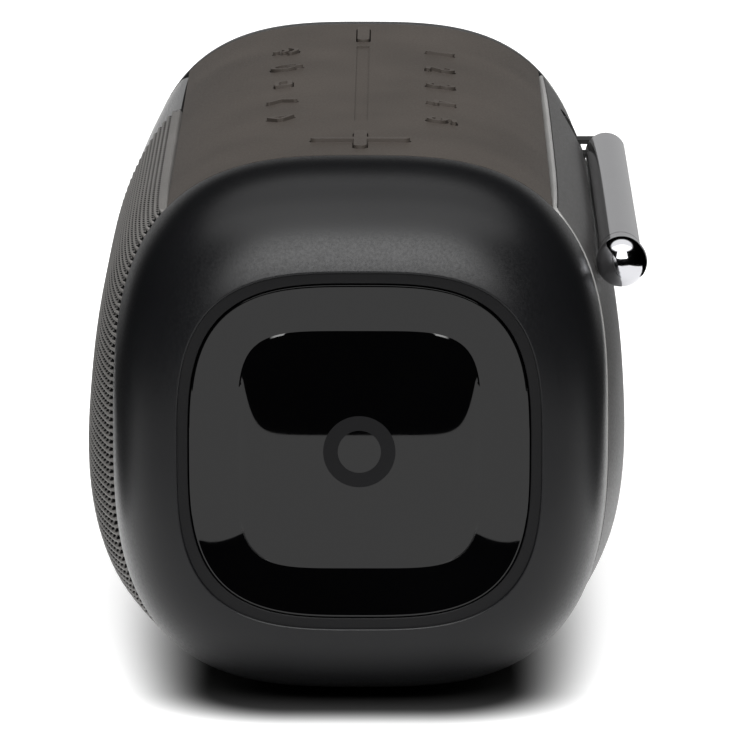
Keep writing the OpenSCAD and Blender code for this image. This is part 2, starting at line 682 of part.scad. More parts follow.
// Round lead of radius lead_r that follows the points of a route given from the axis
module lead(route) {
    last = len(route) - 1;
    function heading(i) = let (v = route[min(i + 1, last)] - route[max(i - 1, 0)]) v / norm(v);
    function ring_at(i) =
        let (t = heading(i), side = cross([1, 0, 0.3], t), u = side / norm(side), v = cross(t, u))
        [for (j = [0:lead_sides - 1])
            let (a = j * 360 / lead_sides)
            route[i] + [0, 0, axis_z] + lead_r * (cos(a) * u + sin(a) * v)];
    ring_solid([for (i = [last:-1:0]) ring_at(i)], false);
}
module leads() color("red") {
    lead(speaker_lead);
    lead(battery_lead);
    lead(antenna_lead);
}

// ---- Antenna, stowed along +X ----

bush_bore = 4.55;
swivel_r = 4.5;
disc_r = 4.9;
disc_y = [31.2, 32.3];
ear_gap = 0.75;
ear_t = 0.7;
ear_r = 2;
tongue_half = 0.6;
pin_r = 0.9;
tube_x = antenna_x + 5.5;
tube_end = 50.9;
section_step = 0.9;

module at_antenna() translate([antenna_x, antenna_y, axis_z + antenna_z]) children();

module antenna_bush() color("black") translate([0, 0, axis_z + antenna_z]) difference() {
    union() {
        rod_y(5.9, antenna_x, 27, 31, 0);
        rod_y(7, antenna_x, 26.2, 27, 0);
    }
    rod_y(bush_bore, antenna_x, 20, 40, 0);
}

module antenna_swivel() color("silver") {
    difference() {
        union() {
            translate([0, 0, axis_z + antenna_z]) {
                rod_y(swivel_r, antenna_x, 26.4, disc_y[0], 0);
                rod_y(disc_r, antenna_x, disc_y[0], disc_y[1], 0);
            }
            at_antenna() for (s = [0, 1]) mirror([0, 0, s]) translate([0, 0, ear_gap]) {
                cylinder(r = ear_r, h = ear_t);
                translate([-ear_r, disc_y[1] - antenna_y - 0.2, 0]) cube([2 * ear_r, antenna_y - disc_y[1] + 0.2, ear_t]);
            }
        }
        at_antenna() cylinder(r = pin_r, h = 20, center = true);
    }
}
module antenna_pin() color("silver") at_antenna()
    cylinder(r = pin_r, h = 2 * (ear_gap + ear_t), center = true);

// Antenna section i of radius r, closed position, with its stop at the inner end
function tube_r(i) = antenna_r - i * (tube_wall + 0.05);
module antenna_tube(i) color("silver") translate([0, antenna_y, axis_z + antenna_z]) {
    x0 = tube_x + 1.2 + i * section_step;
    difference() {
        rod_x(tube_r(i), x0, tube_end, 0, 0);
        rod_x(tube_r(i) - tube_wall, x0 - 1, tube_end + 1, 0, 0);
    }
}

module antenna_tube_1() color("silver") {
    antenna_tube(0);
    difference() {
        union() {
            translate([0, antenna_y, axis_z + antenna_z]) rod_x(antenna_r, tube_x, tube_x + 1.2, 0, 0);
            at_antenna() translate([0, 0, -tongue_half]) {
                cylinder(r = ear_r - 0.1, h = 2 * tongue_half);
                translate([0, 0.1 - ear_r, 0]) cube([tube_x - antenna_x + 0.2, 2 * ear_r - 0.2, 2 * tongue_half]);
            }
        }
        at_antenna() cylinder(r = pin_r + 0.05, h = 20, center = true);
    }
}
module antenna_tube_2() antenna_tube(1);
module antenna_tube_3() antenna_tube(2);
module antenna_tube_4() antenna_tube(3);

rod_end = 58;
tip_x = tube_end + 0.3;
tip_dome_x = 57.9;
tip_r = antenna_r + 0.55;
module antenna_rod() color("silver") translate([0, antenna_y, axis_z + antenna_z])
    rod_x(tube_r(4), tube_x + 1.2 + 4 * section_step, rod_end, 0, 0);
module antenna_tip() color("silver") translate([0, antenna_y, axis_z + antenna_z]) difference() {
    union() {
        rod_x(antenna_r, tip_x, tip_dome_x, 0, 0);
        translate([tip_dome_x, 0, 0]) sphere(tip_r);
    }
    rod_x(tube_r(4), tip_x - 1, rod_end, 0, 0);
}

cabinet_front();
cabinet_rear();
cabinet_seal();
front_grille();
display_window();
display_module();
top_skin();
keypad_carrier();
key_circuit();
rear_cover();
rear_trim();
base_cover();
base_foot();
bell_right();
bell_left();
end_frame_right();
end_frame_left();
screws();
driver_basket();
driver_top_plate();
driver_magnet();
driver_yoke();
battery();
battery_holder();
main_board();
usb_port();
leads();
antenna_bush();
radiator_surround_right();
radiator_surround_left();
driver_surround();
driver_spider();
radiator_plate_right();
radiator_weight_right();
radiator_plate_left();
radiator_weight_left();
driver_cone();
driver_dust_cap();
driver_voice_coil();
port_flap();
antenna_swivel();
antenna_pin();
antenna_tube_1();
antenna_tube_2();
antenna_tube_3();
antenna_tube_4();
antenna_rod();
antenna_tip();
key_preset_1();
key_preset_2();
key_preset_3();
key_preset_4();
key_preset_5();
key_wireless();
key_power();
key_source();
key_back();
key_play();
key_volume_up();
key_volume_down();
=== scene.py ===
"""Portable waterproof radio speaker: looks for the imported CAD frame.

Sizes are in millimetres, as in the part's source, and turn into metres when a mesh is made.
X runs along the body, -Y is the front grille, +Z is up. Angles are in degrees round the body's
long axis, which lies AXIS_Z above the rest plane.
"""

import json
import math

import bmesh
import bpy
from mathutils import Matrix, Vector


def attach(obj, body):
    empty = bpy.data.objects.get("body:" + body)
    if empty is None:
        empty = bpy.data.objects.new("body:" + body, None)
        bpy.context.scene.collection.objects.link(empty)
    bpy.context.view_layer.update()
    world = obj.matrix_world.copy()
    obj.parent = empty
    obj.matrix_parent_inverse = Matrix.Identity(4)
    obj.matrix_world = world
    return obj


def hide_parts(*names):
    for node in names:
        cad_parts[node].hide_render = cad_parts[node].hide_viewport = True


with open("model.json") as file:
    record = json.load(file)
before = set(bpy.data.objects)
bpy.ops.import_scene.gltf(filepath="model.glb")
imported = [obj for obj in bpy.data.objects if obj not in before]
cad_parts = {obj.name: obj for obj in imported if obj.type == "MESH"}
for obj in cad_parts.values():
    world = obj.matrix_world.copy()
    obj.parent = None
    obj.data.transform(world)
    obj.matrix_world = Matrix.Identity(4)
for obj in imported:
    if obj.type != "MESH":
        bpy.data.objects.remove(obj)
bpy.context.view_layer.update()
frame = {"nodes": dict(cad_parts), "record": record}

MM = 0.001

# ---- Sizes that repeat the part's own ----

HALF_W = 36.0
TOP_H = 40.0
BOTTOM_H = 38.1
AXIS_Z = 40.0
END_X = 86.5
MID_X = 66.5
SECTION_N = 3.0
FRONT_DOME = 5.1
REAR_DOME = 3.9
FRONT_LOW = -24.0
REAR_LOW = -16.0
SWELL_TOP = 42.0
SWELL_BOTTOM = -40.4
SWELL_FALL = 2.26
SWELL_RUN = 4.2
PANEL_HALF = 28.0
BASE_HALF = 26.0
WINDOW_X = -28.5
SEAM = 0.2
SKIN_T = 1.2
WINDOW_T = 1.6
REAR_T = 3.2
BASE_T = 1.8
MOUTH_W = 26.4
MOUTH_H = 26.2
MOUTH_N = 3.2
BELL_N = 2.4
BELL_CUT = 0.85
BELL_WALL = 2.6
LIP_T = 2.0
PLATE_W = 24.5
VALLEY_W = 17.4
VALLEY_N = 4.8
VALLEY_DEPTH = 1.65
DOME_H = 1.5
RIM_DEPTH = 0.25
FOOT_W = 17.0
ANTENNA_X = -48.5
ANTENNA_Y = 38.3
ANTENNA_Z = AXIS_Z + 22.9
GROOVE_R = 3.65
GROOVE_X = (-50.0, 63.5)
TIP_POCKET_X = 53.0
BUSH_HOLE_R = 6.0
FLAP_X = (-21.0, -7.0)
FLAP_Z = (AXIS_Z - 16.0, AXIS_Z - 8.0)


def mix(a, b, t):
    return a + (b - a) * t


def ease(t):
    c = min(1, max(0, t))
    return c * c * (3 - 2 * c)


def ring_point(angle, w, up, down, n):
    """Point at an angle of a squared ring of half width w, with its heights and roundness."""
    c = math.cos(math.radians(angle))
    s = math.sin(math.radians(angle))
    r = (abs(c) ** n + abs(s) ** n) ** (-1 / n)
    return w * r * c, (up if s >= 0 else down) * r * s


def border_angle(y):
    return math.degrees(math.atan2((1 - (y / HALF_W) ** SECTION_N) ** (1 / SECTION_N), y / HALF_W))


TOP_A = border_angle(PANEL_HALF)
BASE_A = border_angle(BASE_HALF)


def swell(x, y, z):
    """How far the front or the rear stands proud of the plain section."""
    low = FRONT_LOW if y < 0 else REAR_LOW
    v = (z - low) / (SWELL_TOP - low) if z > low else (low - z) / (low - SWELL_BOTTOM)
    along = 1 - min(1, abs(x) / MID_X) ** SWELL_RUN
    return (FRONT_DOME if y < 0 else REAR_DOME) * along * max(0, 1 - v**SWELL_FALL) ** 2


def skin_point(x, angle, inset=0.0):
    """Point of the body's skin at station x, inset below its surface."""
    y, z = ring_point(angle, HALF_W - inset, TOP_H - inset, BOTTOM_H - inset, SECTION_N)
    out = math.copysign(swell(x, y, z), y) * ease((abs(y) - FOOT_W - 0.5) / (BASE_HALF - FOOT_W - 0.5))
    return x, y + out, AXIS_Z + z


def spread(lo, hi, n):
    return [mix(lo, hi, i / n) for i in range(n + 1)]


def arc_angles(a0, a1, n):
    """n + 1 angles from a0 to a1 that stand evenly along the plain section."""
    fine = spread(a0, a1, 720)
    run = [0.0]
    for a, b in zip(fine, fine[1:]):
        p, q = (ring_point(v, HALF_W, TOP_H, BOTTOM_H, SECTION_N) for v in (a, b))
        run.append(run[-1] + math.dist(p, q))
    found = []
    j = 0
    for i in range(n + 1):
        want = run[-1] * i / n
        while j < len(run) - 2 and run[j + 1] < want:
            j += 1
        found.append(mix(fine[j], fine[j + 1], (want - run[j]) / (run[j + 1] - run[j])))
    return found


# ---- Meshes ----


def make_object(name, points, faces, material, smooth=True, flat_over=None):
    mesh = bpy.data.meshes.new(name)
    mesh.from_pydata([(x * MM, y * MM, z * MM) for x, y, z in points], [], faces)
    mesh.validate()
    obj = bpy.data.objects.new(name, mesh)
    bpy.context.scene.collection.objects.link(obj)
    if smooth:
        mesh.polygons.foreach_set("use_smooth", [True] * len(mesh.polygons))
    if flat_over is not None:
        sharpen(mesh, flat_over)
    mesh.materials.append(material)
    return obj


def sharpen(mesh, degrees):
    """Marks edges sharp where the surface turns by more than that."""
    bm = bmesh.new()
    bm.from_mesh(mesh)
    bmesh.ops.recalc_face_normals(bm, faces=bm.faces)
    limit = math.radians(degrees)
    for edge in bm.edges:
        edge.smooth = len(edge.link_faces) == 2 and edge.calc_face_angle(0) < limit
    bm.to_mesh(mesh)
    bm.free()


def place(obj, body, slot, *nodes):
    """Rides a piece on its body and hides the CAD nodes it stands for."""
    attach(obj, body)
    if nodes:
        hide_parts(*nodes)


def loft(rings, looped=True, capped=False):
    """Points and faces of a surface through closed rings of points."""
    m = len(rings[0])
    n = len(rings)
    points = [p for ring in rings for p in ring]
    faces = []
    for i in range(n if looped else n - 1):
        a = i * m
        b = (i + 1) % n * m
        for j in range(m):
            k = (j + 1) % m
            faces.append((a + j, b + j, b + k, a + k))
    if capped:
        faces.append(tuple(reversed(range(m))))
        faces.append(tuple((n - 1) * m + j for j in range(m)))
    return points, faces


def slab(outer, inner):
    """Points and faces of a closed sheet between two equal grids of points."""
    rows = len(outer)
    cols = len(outer[0])
    count = rows * cols
    points = [p for row in outer for p in row] + [p for row in inner for p in row]
    faces = []
    for i in range(rows - 1):
        for j in range(cols - 1):
            a = i * cols + j
            faces.append((a, a + 1, a + cols + 1, a + cols))
            faces.append((count + a, count + a + cols, count + a + cols + 1, count + a + 1))
    for j in range(cols - 1):
        a = j
        b = (rows - 1) * cols + j
        faces.append((a, count + a, count + a + 1, a + 1))
        faces.append((b, b + 1, count + b + 1, count + b))
    for i in range(rows - 1):
        a = i * cols
        b = a + cols - 1
        faces.append((a, a + cols, count + a + cols, count + a))
        faces.append((b, count + b, count + b + cols, b + cols))
    return points, faces


def mirrored(obj, name):
    """Copy of a piece at the other end of the body."""
    twin = obj.copy()
    twin.data = obj.data.copy()
    twin.name = name
    twin.data.name = name
    bpy.context.scene.collection.objects.link(twin)
    twin.data.transform(Matrix.Diagonal((-1, 1, 1, 1)))
    twin.data.flip_normals()
    return twin


# ---- Materials ----


def node_material(name):
    material = bpy.data.materials.new(name)
    material.use_nodes = True
    tree = material.node_tree
    return material, tree.nodes, tree.links, tree.nodes["Principled BSDF"]


def add_noise(nodes, links, scale, detail=3.0):
    """Noise in object space, in cells per metre."""
    coords = nodes.new("ShaderNodeTexCoord")
    noise = nodes.new("ShaderNodeTexNoise")
    noise.inputs["Scale"].default_value = scale
    noise.inputs["Detail"].default_value = detail
    noise.inputs["Roughness"].default_value = 0.5
    links.new(coords.outputs["Object"], noise.inputs["Vector"])
    return noise


def map_range(nodes, links, source, lo, hi):
    """Spreads the middle of a noise's values over lo to hi."""
    ramp = nodes.new("ShaderNodeMapRange")
    ramp.inputs["To Min"].default_value = lo
    ramp.inputs["To Max"].default_value = hi
    ramp.inputs["From Min"].default_value = 0.3
    ramp.inputs["From Max"].default_value = 0.7
    links.new(source, ramp.inputs["Value"])
    return ramp.outputs["Result"]


def surface(
    name,
    color,
    rough,
    metallic=0.0,
    spread_rough=0.05,
    tint=0.12,
    grain=2500.0,
    bump=0.15,
    blotch=60.0,
    specular=0.5,
):
    """A finish whose colour and roughness drift a little, with a fine grain in its surface."""
    material, nodes, links, shader = node_material(name)
    drift = add_noise(nodes, links, blotch)
    ramp = nodes.new("ShaderNodeValToRGB")
    ramp.color_ramp.elements[0].position = 0.3
    ramp.color_ramp.elements[1].position = 0.7
    ramp.color_ramp.elements[0].color = tuple(c * (1 - tint) for c in color) + (1,)
    ramp.color_ramp.elements[1].color = tuple(c * (1 + tint) for c in color) + (1,)
    links.new(drift.outputs["Fac"], ramp.inputs["Fac"])
    links.new(ramp.outputs["Color"], shader.inputs["Base Color"])
    fine = add_noise(nodes, links, grain, detail=2.0)
    links.new(
        map_range(nodes, links, fine.outputs["Fac"], rough - spread_rough, rough + spread_rough),
        shader.inputs["Roughness"],
    )
    if bump:
        relief = nodes.new("ShaderNodeBump")
        relief.inputs["Strength"].default_value = bump
        relief.inputs["Distance"].default_value = 0.00008
        links.new(fine.outputs["Fac"], relief.inputs["Height"])
        links.new(relief.outputs["Normal"], shader.inputs["Normal"])
    shader.inputs["Metallic"].default_value = metallic
    shader.inputs["Specular IOR Level"].default_value = specular
    return material


MATERIALS = {
    "bell": surface("bell_charcoal", (0.0038, 0.0039, 0.0044), 0.34, bump=0.08, specular=0.2),
    "grille": surface("grille_paint", (0.12, 0.1155, 0.11), 0.5, grain=3500, bump=0.1, specular=0.4),
    # Near black for the walls of the grille's holes: painted shade inside the holes
    "hole": surface("grille_hole_painted_shade", (0.006, 0.006, 0.006), 0.8, bump=0.2, specular=0.1),
    "cloth": surface("grille_cloth", (0.004, 0.004, 0.004), 0.9, grain=5000, bump=0.5, specular=0.1),
    "window": surface("window_gloss", (0.035, 0.035, 0.0355), 0.2, spread_rough=0.015, bump=0.0,
                      specular=0.35),
    "keypad": surface("keypad_rubber", (0.05, 0.0425, 0.0365), 0.55, grain=3000, bump=0.2, specular=0.25),
    "key": surface("key_rubber", (0.054, 0.046, 0.04), 0.5, grain=3000, bump=0.15, specular=0.25),
    "cover": surface("cover_plastic", (0.044, 0.0428, 0.042), 0.42, grain=2500, bump=0.2, specular=0.3),
    # Light grey bead: a painted highlight along the cover's edge, on a satin finish
    "trim": surface("trim_satin_painted_highlight", (0.24, 0.238, 0.232), 0.35, grain=4000, bump=0.06),
    "foot": surface("foot_rubber", (0.012, 0.012, 0.012), 0.8, bump=0.4),
    "surround": surface("surround_rubber", (0.0015, 0.0015, 0.0018), 0.5, bump=0.12, specular=0.15),
    "plate": surface("plate_gloss", (0.0006, 0.0006, 0.0007), 0.03, spread_rough=0.01, bump=0.0,
                     specular=0.31),
    "badge": surface("badge_matte", (0.0035, 0.0035, 0.0039), 0.55, bump=0.1, specular=0.1),
    "mount": surface("mount_satin", (0.01, 0.01, 0.01), 0.45, specular=0.3),
    "antenna": surface("antenna_chrome", (0.48, 0.48, 0.5), 0.09, metallic=1.0, spread_rough=0.02,
                       tint=0.03, bump=0.0),
    "flap": surface("flap_rubber", (0.013, 0.0127, 0.0124), 0.65, bump=0.25, specular=0.3),
    "cabinet": surface("cabinet_plastic", (0.012, 0.012, 0.013), 0.55),
    "seal": surface("seal_rubber", (0.01, 0.01, 0.01), 0.8, bump=0.3),
    "display": surface("display_glass", (0.006, 0.007, 0.008), 0.12, bump=0.0),
    "carrier": surface("carrier_plastic", (0.3, 0.3, 0.3), 0.5),
    "circuit": surface("circuit_film", (0.4, 0.18, 0.04), 0.4),
    "screw": surface("screw_zinc", (0.5, 0.5, 0.5), 0.3, metallic=1.0),
    "basket": surface("basket_coat", (0.02, 0.02, 0.02), 0.45, bump=0.3),
    "steel": surface("steel_zinc", (0.5, 0.5, 0.52), 0.32, metallic=1.0, grain=1800),
    "magnet": surface("magnet_ferrite", (0.03, 0.03, 0.032), 0.7, bump=0.4),
    "battery": surface("battery_sleeve", (0.03, 0.1, 0.3), 0.3, bump=0.05),
    "board": surface("board_mask", (0.01, 0.1, 0.035), 0.35, bump=0.1),
    "lead": surface("lead_insulation", (0.35, 0.02, 0.015), 0.45),
    "spider": surface("spider_cloth", (0.4, 0.24, 0.08), 0.8, bump=0.5),
    "cone": surface("cone_paper", (0.015, 0.015, 0.015), 0.7, bump=0.4),
    "coil": surface("coil_lacquer", (0.5, 0.18, 0.08), 0.35, metallic=0.6),
}

SLOT_OF = {row["node"]: row["material_slot"] for row in frame["record"]["subparts"]}
for node_name, node_object in frame["nodes"].items():
    node_object.data.materials.clear()
    node_object.data.materials.append(MATERIALS[SLOT_OF[node_name]])


# ---- Bells and radiators ----

RING_STEPS = 192
# How squarely the dome on the plate falls off at its sides
DOME_SIDE = 7.0


def bell_drop(k):
    """Share of the way from the bell's rim to its mouth, k along it."""
    end = (1 - BELL_CUT) ** (1 / BELL_N)
    return (1 - (1 - BELL_CUT * k**BELL_N) ** (1 / BELL_N)) / (1 - end)


def bell_ring(k, inset, length):
    """Ring of the bell, k along it, inset below its surface."""
    g = bell_drop(k)
    n = mix(SECTION_N, MOUTH_N, g)
    w = mix(HALF_W - inset, MOUTH_W, g)
    up = mix(TOP_H - inset, MOUTH_H, g)
    down = mix(BOTTOM_H - inset, MOUTH_H, g)
    x = MID_X + k * length
    return [
        (x, y, AXIS_Z + z)
        for y, z in (ring_point(j * 360 / RING_STEPS, w, up, down, n) for j in range(RING_STEPS))
    ]


def make_bell():
    """Domed shell with a rounded lip, its edge turned in where it meets the middle."""
    steps = 40
    length = END_X - MID_X
    lip_r = 0.35
    lip_x = END_X - 0.02
    turn_in = 0.45
    turn_share = 0.012
    ks = [math.sin(math.radians(90 * i / steps)) for i in range(steps + 1)]
    rings = [bell_ring(0, turn_in, length)]
    rings += [bell_ring(k, 0.0, length) for k in [turn_share] + ks[1:]]
    rings[-1] = [(lip_x, y, z) for _, y, z in rings[-1]]
    for t in (30, 60, 90):
        back = lip_r * (1 - math.cos(math.radians(t)))
        squeeze = 0.6 * lip_r * math.sin(math.radians(t))
        rings.append(end_ring(MOUTH_W - squeeze, lip_x - back))
    rings += [bell_ring(ks[i], BELL_WALL, length - LIP_T) for i in range(steps, -1, -4)]
    points, faces = loft(rings)
    return make_object("bell_right_shell", points, faces, MATERIALS["bell"], flat_over=50)


def end_ring(w, x, n=MOUTH_N):
    """Ring of half width w at station x, in the proportions of the bell's mouth."""
    h = w * MOUTH_H / MOUTH_W
    return [
        (x, y, AXIS_Z + z)
        for y, z in (ring_point(j * 360 / RING_STEPS, w, h, h, n) for j in range(RING_STEPS))
    ]


def make_surround():
    """Folded rubber round the plate, by (half width, depth), nearly flush with the bell's lip."""
    edge_r = 0.2
    profile = [(24.62, 3.4), (24.64, 0.7)]
    for t in range(15, 91, 15):
        turn = math.radians(t)
        profile.append((24.84 - edge_r * math.cos(turn), 0.62 - edge_r * math.sin(turn)))
    profile += [(25.2, 0.4), (25.9, 0.37), (26.28, 0.37), (26.3, 0.8), (26.2, 2.55), (27.2, 2.55)]
    profile += [(27.2, 3.2), (25.95, 3.2), (25.75, 1.4), (25.45, 1.05), (25.15, 1.4), (25.05, 3.4)]
    points, faces = loft([end_ring(w, END_X - d) for w, d in reversed(profile)])
    return make_object("surround_right_roll", points, faces, MATERIALS["surround"], flat_over=40)


def make_flange():
    """Inner flange of the surround, which moves with the plate in front of it."""
    profile = [(22.3, 3.75), (24.45, 3.75), (24.45, 4.2), (22.3, 4.2)]
    points, faces = loft([end_ring(w, END_X - d) for w, d in reversed(profile)])
    return make_object("surround_flange_right", points, faces, MATERIALS["surround"], flat_over=40)


def plate_n(w):
    """Roundness of the plate's ring of half width w."""
    return mix(VALLEY_N, MOUTH_N, max(0.0, w - VALLEY_W) / (PLATE_W - VALLEY_W))


def dome_at(y, z):
    """Depth of the dome behind the end face: arched up and down, flat across but for its sides."""
    arch = max(0.0, 1 - (z / VALLEY_W) ** 2)
    across = max(0.0, 1 - abs(y / VALLEY_W) ** DOME_SIDE)
    return VALLEY_DEPTH - DOME_H * arch * across


def make_plate():
    """Gloss plate, by (half width, depth): flat back, rounded edge, sloping band, valley and dome."""
    back = [(1.0, 2.9), (12.0, 2.9), (PLATE_W - 0.6, 2.9), (PLATE_W - 0.2, 2.8), (PLATE_W, 2.5)]
    back.append((PLATE_W, 0.5))
    edge_r = 0.18
    edge_depth = RIM_DEPTH + edge_r
    front = []
    for t in range(0, 61, 15):
        turn = math.radians(t)
        front.append((PLATE_W - edge_r + edge_r * math.cos(turn), edge_depth - edge_r * math.sin(turn)))
    for t in spread(0, 1, 14):
        band_w = mix(PLATE_W - 0.3, VALLEY_W + 0.12, t)
        front.append((band_w, mix(RIM_DEPTH, VALLEY_DEPTH - 0.03, t)))
    rings = [end_ring(w, END_X - d) for w, d in back]
    rings += [end_ring(w, END_X - d, plate_n(w)) for w, d in front]
    for w in spread(VALLEY_W - 0.1, 0.6, 60):
        ring = end_ring(w, END_X, VALLEY_N)
        rings.append([(x - dome_at(y, z - AXIS_Z), y, z) for x, y, z in ring])
    points, faces = loft(rings, looped=False, capped=True)
    return make_object("radiator_plate_right_gloss", points, faces, MATERIALS["plate"], flat_over=7)


def make_badge():
    """Plain ring on the dome, in place of any mark."""
    outer_r = 5.2
    inner_r = 3.1
    proud = 0.06
    sunk = 0.25
    steps = 72
    rings = []
    for r, d in ((outer_r, sunk), (outer_r, -proud), (inner_r, -proud), (inner_r, sunk)):
        ring = []
        for j in range(steps):
            turn = 2 * math.pi * j / steps
            y = r * math.cos(turn)
            z = r * math.sin(turn)
            ring.append((END_X - dome_at(y, z) - d, y, AXIS_Z + z))
        rings.append(ring)
    points, faces = loft(rings)
    return make_object("radiator_ring_right", points, faces, MATERIALS["badge"], flat_over=40)


def both_ends(make, slot, body, names, nodes=(None, None)):
    """Makes a piece at the right end and its twin at the left, each in place of its CAD node."""
    right = make()
    right.name = names[0]
    left = mirrored(right, names[1])
    for piece, side, node in zip((right, left), ("right", "left"), nodes):
        place(piece, body.format(side), slot, *([node] if node else []))


both_ends(make_bell, "bell", "body", ("bell_shell_right", "bell_shell_left"), ("bell_right", "bell_left"))
both_ends(
    make_surround, "surround", "body", ("surround_roll_right", "surround_roll_left"),
    ("radiator_surround_right", "radiator_surround_left"),
)
both_ends(
    make_plate, "plate", "radiator_{}", ("plate_gloss_right", "plate_gloss_left"),
    ("radiator_plate_right", "radiator_plate_left"),
)
both_ends(make_flange, "surround", "radiator_{}", ("plate_flange_right", "plate_flange_left"))
both_ends(make_badge, "plate", "radiator_{}", ("plate_ring_right", "plate_ring_left"))


# ---- Front: perforated grille, cloth and display window ----

GRILLE_X = (WINDOW_X + SEAM, MID_X - SEAM)
FRONT_A = (180 - TOP_A + 0.4, 180 + BASE_A - 0.3)
FRONT_RUN = 84.0
EVEN_STEPS = 1160
FRONT_ANGLES = arc_angles(*FRONT_A, EVEN_STEPS)
GRILLE_ROWS = 61
GRILLE_COLS = 50
# Half sizes of a hole along the body and down the front, in pitches
HOLE_HALF = (0.34, 0.31)
HOLE_DEPTH = 0.7
RIB_H = 0.7


def angle_at(angles, v):
    """Angle at share v of the way along evenly standing angles."""
    place_in = max(0.0, min(1.0, v)) * (len(angles) - 1)
    i = min(int(place_in), len(angles) - 2)
    return mix(angles[i], angles[i + 1], place_in - i)


def front_angle(v):
    """Angle at share v of the way down the front, from its top border."""
    return angle_at(FRONT_ANGLES, v)


def rim_fade(x, v):
    """1 over the ribs, falling to 0 at the rim of the grille."""
    fade_run = 0.9
    from_top = v * FRONT_RUN
    from_bottom = (1 - v) * FRONT_RUN
    edge = min(x - GRILLE_X[0], (GRILLE_X[1] - x) * 2, from_top, from_bottom)
    return max(0.0, min(1.0, edge / fade_run))


def edge_turn(x):
    """How far the sheet turns in at its end beside the bell."""
    run = 2.0
    depth = 1.2
    t = max(0.0, 1 - (GRILLE_X[1] - x) / run)
    return depth * (1 - math.sqrt(max(0.0, 1 - t * t)))


def grille_point(x, v, lift):
    """Point at station x and share v down the front, lifted off the skin."""
    return skin_point(x, front_angle(v), edge_turn(x) - lift)


def make_grille():
    """Ribs along the body with a row of real holes in each groove between them."""
    row0 = 1.0 / FRONT_RUN
    row1 = 1 - 1.6 / FRONT_RUN
    col0 = GRILLE_X[0] + 0.5
    col1 = GRILLE_X[1] - 0.2
    pitch_x = (col1 - col0) / GRILLE_COLS
    pitch_v = (row1 - row0) / GRILLE_ROWS
    side = (0.0, 0.33, 0.67, 1.0)
    border = [(0.0, v) for v in side[:3]] + [(u, 1.0) for u in side[:3]]
    border += [(1.0, 1 - v) for v in side[:3]] + [(1 - u, 0.0) for u in side[:3]]
    turn = [math.atan2(v - 0.5, u - 0.5) for u, v in border]
    hole = [(0.5 + HOLE_HALF[0] * math.cos(t), 0.5 + HOLE_HALF[1] * math.sin(t)) for t in turn]
    middle = [(mix(a[0], b[0], 0.55), mix(a[1], b[1], 0.55)) for a, b in zip(border, hole)]
    index = {}
    points = []
    faces = []

    def vertex(i, j, u, v, key):
        if key in index:
            return index[key]
        x = col0 + (i + u) * pitch_x
        w = row0 + (j + v) * pitch_v
        wave = 0.5 + 0.5 * math.cos(2 * math.pi * v)
        points.append(grille_point(x, w, (wave**0.5 - 0.25) * RIB_H * rim_fade(x, w)))
        index[key] = len(points) - 1
        return index[key]

    def shared_key(i, j, u, v):
        return ("e", round((i + u) * 3), round((j + v) * 3))

    for i in range(GRILLE_COLS):
        for j in range(GRILLE_ROWS):
            outer = [vertex(i, j, u, v, shared_key(i, j, u, v)) for u, v in border]
            mids = [vertex(i, j, u, v, ("m", i, j, k)) for k, (u, v) in enumerate(middle)]
            rim = [vertex(i, j, u, v, ("h", i, j, k)) for k, (u, v) in enumerate(hole)]
            deep = []
            for u, v in hole:
                x = col0 + (i + u) * pitch_x
                w = row0 + (j + v) * pitch_v
                points.append(grille_point(x, w, -HOLE_DEPTH))
                deep.append(len(points) - 1)
            for k in range(len(border)):
                n = (k + 1) % len(border)
                faces.append((outer[k], outer[n], mids[n], mids[k]))
                faces.append((mids[k], mids[n], rim[n], rim[k]))
                faces.append((rim[k], rim[n], deep[n], deep[k]))
    in_cells = len(faces)
    faces += grille_rim(points, index, pitch_x, pitch_v, col0, row0)
    grille = make_object("grille_perforated", points, faces, MATERIALS["grille"])
    # The walls of the holes take the near black finish, a painted shade in the holes
    grille.data.materials.append(MATERIALS["hole"])
    for face in list(grille.data.polygons)[2:in_cells:3]:
        face.material_index = 1
    return grille


def grille_rim(points, index, pitch_x, pitch_v, col0, row0):
    """Plain rim round the holes, turned in at its edge."""
    last_x = 3 * GRILLE_COLS
    last_v = 3 * GRILLE_ROWS
    path = [("e", 0, j) for j in range(last_v)]
    path += [("e", i, last_v) for i in range(last_x)]
    path += [("e", last_x, last_v - j) for j in range(last_v)]
    path += [("e", last_x - i, 0) for i in range(last_x)]
    inner = [index[key] for key in path]
    loops = [inner]
    for share, drop in ((0.35, 0.0), (0.8, 0.0), (1.0, 0.12), (1.02, 0.4), (1.0, SKIN_T)):
        loop = []
        for _, i, j in path:
            x = col0 + i / 3 * pitch_x
            v = row0 + j / 3 * pitch_v
            if i == 0:
                x = mix(x, GRILLE_X[0], share)
            if i == last_x:
                x = mix(x, GRILLE_X[1], share)
            if j == 0:
                v = mix(v, 0.0, share)
            if j == last_v:
                v = mix(v, 1.0, share)
            points.append(grille_point(x, v, -drop))
            loop.append(len(points) - 1)
        loops.append(loop)
    faces = []
    for a, b in zip(loops, loops[1:]):
        for k in range(len(path)):
            n = (k + 1) % len(path)
            faces.append((a[n], a[k], b[k], b[n]))
    return faces


def make_cloth():
    """Black cloth stretched behind the holes."""
    xs = spread(GRILLE_X[0] + 0.3, GRILLE_X[1] - 0.9, 60)
    angles = arc_angles(FRONT_A[0] + 0.6, FRONT_A[1] - 0.6, 90)
    outer = [[skin_point(x, a, 0.85) for a in angles] for x in xs]
    inner = [[skin_point(x, a, 1.15) for a in angles] for x in xs]
    points, faces = slab(outer, inner)
    return make_object("grille_cloth", points, faces, MATERIALS["cloth"], flat_over=50)


